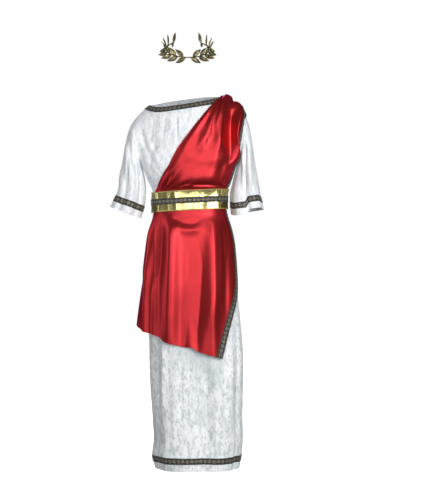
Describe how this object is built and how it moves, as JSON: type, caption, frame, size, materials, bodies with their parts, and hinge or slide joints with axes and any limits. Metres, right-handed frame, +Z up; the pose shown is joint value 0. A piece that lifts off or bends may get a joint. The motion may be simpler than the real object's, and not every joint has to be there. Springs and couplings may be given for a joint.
{
  "type": "greek god costume",
  "caption": "Worn hollow robe with wide sleeves, a diagonal drape with an apron tail, braid trims, a wide belt and a leaf wreath for the head.",
  "frame": {"origin": "midway between the two ends of the neckline, at the top of the shoulders that hold the robe", "axes": "+Z up, -Y out of the front, +X towards the wearer's left"},
  "size_m": [0.5903, 0.2764, 1.6562],
  "materials": {
    "white_velvet": "crushed velvet",
    "red_satin": "satin",
    "dark_braid": "woven braid with metallic thread",
    "gold_lame": "metallic lame",
    "gilt_leaf": "antique gilt"
  },
  "bodies": {
    "root": {"robe_front": "white_velvet", "robe_back": "white_velvet", "sleeve_right": "white_velvet", "sleeve_left": "white_velvet", "drape_front": "red_satin", "drape_back": "red_satin", "drape_apron": "red_satin", "neck_braid": "dark_braid", "hem_braid_front": "dark_braid", "hem_braid_back": "dark_braid", "sleeve_braid_right": "dark_braid", "sleeve_braid_left": "dark_braid", "drape_braid_front": "dark_braid", "drape_braid_back": "dark_braid", "apron_braid": "dark_braid", "belt_braid": "dark_braid", "belt_band": "gold_lame", "wreath_stem": "gilt_leaf", "wreath_leaf_upper_1": "gilt_leaf", "wreath_leaf_lower_1": "gilt_leaf", "wreath_leaf_upper_2": "gilt_leaf", "wreath_leaf_lower_2": "gilt_leaf", "wreath_leaf_upper_3": "gilt_leaf", "wreath_leaf_lower_3": "gilt_leaf", "wreath_leaf_upper_4": "gilt_leaf", "wreath_leaf_lower_4": "gilt_leaf", "wreath_leaf_upper_5": "gilt_leaf", "wreath_leaf_lower_5": "gilt_leaf", "wreath_leaf_upper_6": "gilt_leaf", "wreath_leaf_lower_6": "gilt_leaf", "wreath_leaf_upper_7": "gilt_leaf", "wreath_leaf_lower_7": "gilt_leaf", "wreath_leaf_upper_8": "gilt_leaf", "wreath_leaf_lower_8": "gilt_leaf", "wreath_leaf_upper_9": "gilt_leaf", "wreath_leaf_lower_9": "gilt_leaf", "wreath_leaf_upper_10": "gilt_leaf", "wreath_leaf_lower_10": "gilt_leaf", "wreath_leaf_upper_11": "gilt_leaf", "wreath_leaf_lower_11": "gilt_leaf", "wreath_leaf_upper_12": "gilt_leaf", "wreath_leaf_lower_12": "gilt_leaf", "wreath_leaf_upper_13": "gilt_leaf", "wreath_leaf_lower_13": "gilt_leaf", "wreath_leaf_upper_14": "gilt_leaf", "wreath_leaf_lower_14": "gilt_leaf"}
  },
  "joints": []
}
